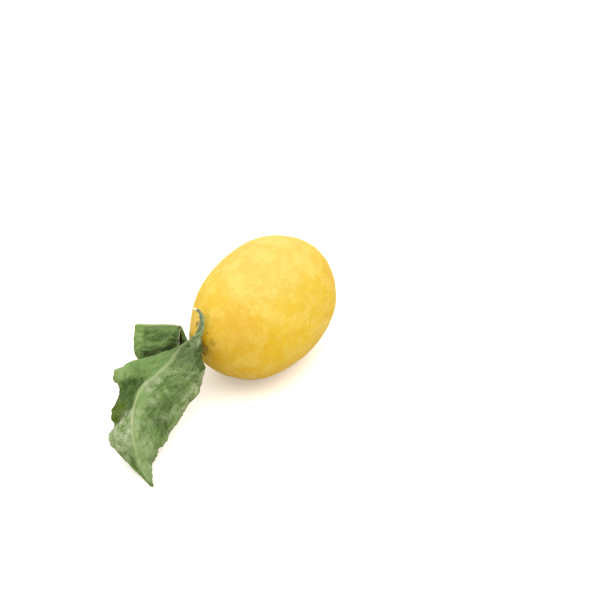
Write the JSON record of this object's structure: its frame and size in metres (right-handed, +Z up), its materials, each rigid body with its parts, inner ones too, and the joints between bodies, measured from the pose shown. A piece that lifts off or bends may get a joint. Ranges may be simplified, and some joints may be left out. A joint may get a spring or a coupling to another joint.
{
  "type": "lemon",
  "caption": "Whole picked lemon lying on its side: oval fruit with a blunt nipple, a lobed calyx, a short curved stem and dried leaves folded along their midribs.",
  "frame": {"origin": "centre of the small flat spot on the fruit's belly, at the height of the surface that it rests on", "axes": "+Z up out of the surface, +X along the fruit's long axis from the stem end to the nipple, +Y to the side that the stem end leans to"},
  "size_m": [0.1448, 0.0793, 0.0594],
  "materials": {
    "peel": "satin",
    "calyx": "matte",
    "stem": "matte",
    "leaf": "matte"
  },
  "bodies": {
    "root": {"fruit": "peel", "calyx": "calyx", "stem": "stem", "leaf_front": "leaf", "leaf_rear": "leaf"}
  },
  "joints": []
}
